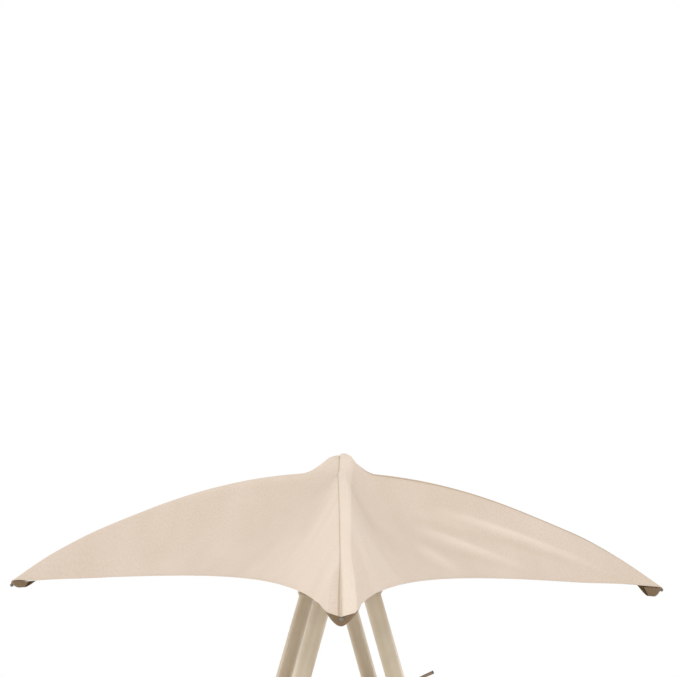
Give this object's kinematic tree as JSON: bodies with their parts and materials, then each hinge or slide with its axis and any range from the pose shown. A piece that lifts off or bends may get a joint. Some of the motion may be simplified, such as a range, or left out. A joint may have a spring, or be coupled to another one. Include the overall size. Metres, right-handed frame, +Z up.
{
  "type": "sun lounger with canopy",
  "caption": "Free-standing sun lounger with a reclining slatted backrest and a padded mattress, under a swivelling and tilting star-shaped fabric canopy on tube A-frames",
  "frame": {"origin": "on the floor, at the middle of the footprint, which is the canopy's square corner to corner", "axes": "+X to the head end of the lounger, +Y across it to the right of a person lying on it, +Z up"},
  "size_m": [2.793, 2.7856, 1.7944],
  "materials": {
    "sand_tube": "satin sand powder coat",
    "sand_cast": "satin sand powder coat on castings",
    "brown_tube": "satin brown powder coat",
    "brown_slat": "satin brown powder coat",
    "rib_metal": "brushed",
    "pin_steel": "zinc plated",
    "canopy_fabric": "plain woven polyester, matt",
    "cushion_fabric": "plain woven polyester over foam, matt",
    "grey_plastic": "matt",
    "black_plastic": "matt",
    "black_rubber": "matt"
  },
  "bodies": {
    "stand": {"leg_left_foot": "sand_tube", "leg_boot_left_foot": "black_rubber", "rail_collar_left_foot": "sand_cast", "leg_left_head": "sand_tube", "leg_boot_left_head": "black_rubber", "rail_collar_left_head": "sand_cast", "leg_right_foot": "sand_tube", "leg_boot_right_foot": "black_rubber", "rail_collar_right_foot": "sand_cast", "leg_right_head": "sand_tube", "leg_boot_right_head": "black_rubber", "rail_collar_right_head": "sand_cast", "crown_left": "sand_cast", "crown_right": "sand_cast", "mast_bracket": "sand_cast", "cross_beam": "sand_tube", "tilt_pin": "pin_steel", "base_frame": "brown_tube", "foot_end_support": "brown_tube", "head_crossbar": "brown_tube", "seat_slat_1": "brown_slat", "seat_slat_2": "brown_slat", "seat_slat_3": "brown_slat", "seat_slat_4": "brown_slat", "ratchet_left": "grey_plastic", "ratchet_right": "grey_plastic", "support_glide_left": "black_rubber", "support_glide_right": "black_rubber", "seat_cushion": "cushion_fabric"},
    "knob": {"tilt_knob": "black_plastic"},
    "mast": {"mast_foot": "sand_cast", "mast_tube": "sand_tube", "swivel_bush": "black_plastic"},
    "canopy": {"canopy_hub": "sand_cast", "hub_cap": "grey_plastic", "canopy_panel_head_right": "canopy_fabric", "canopy_panel_right_foot": "canopy_fabric", "canopy_panel_foot_left": "canopy_fabric", "canopy_panel_left_head": "canopy_fabric", "canopy_rib_head": "rib_metal", "rib_tip_head": "grey_plastic", "corner_pocket_head": "canopy_fabric", "canopy_rib_right": "rib_metal", "rib_tip_right": "grey_plastic", "corner_pocket_right": "canopy_fabric", "canopy_rib_foot": "rib_metal", "rib_tip_foot": "grey_plastic", "corner_pocket_foot": "canopy_fabric", "canopy_rib_left": "rib_metal", "rib_tip_left": "grey_plastic", "corner_pocket_left": "canopy_fabric"},
    "backrest": {"back_rail_left": "brown_tube", "back_rail_right": "brown_tube", "back_plug_left": "grey_plastic", "back_plug_right": "grey_plastic", "hinge_tube": "brown_tube", "back_slat_1": "brown_slat", "back_slat_2": "brown_slat", "back_slat_3": "brown_slat", "back_cushion": "cushion_fabric"}
  },
  "joints": [
    {"name": "backrest_recline", "type": "hinge", "parent": "stand", "child": "backrest", "pos_m": [-0.434, -0.00501, 0.385], "axis": [0, -1, 0], "range_deg": [-26, 29]},
    {"name": "mast_tilt", "type": "hinge", "parent": "stand", "child": "mast", "pos_m": [0, -0.00501, 1.285], "axis": [1, 0, 0], "range_deg": [-18.6, 9.4]},
    {"name": "canopy_swivel", "type": "hinge", "parent": "mast", "child": "canopy", "pos_m": [0, -0.00501, 1.285], "axis": [0, -0.0802, 0.9968], "continuous": true},
    {"name": "tilt_knob_turn", "type": "hinge", "parent": "stand", "child": "knob", "pos_m": [0, -0.00501, 1.285], "axis": [1, 0, 0], "range_deg": [0, 540]}
  ]
}
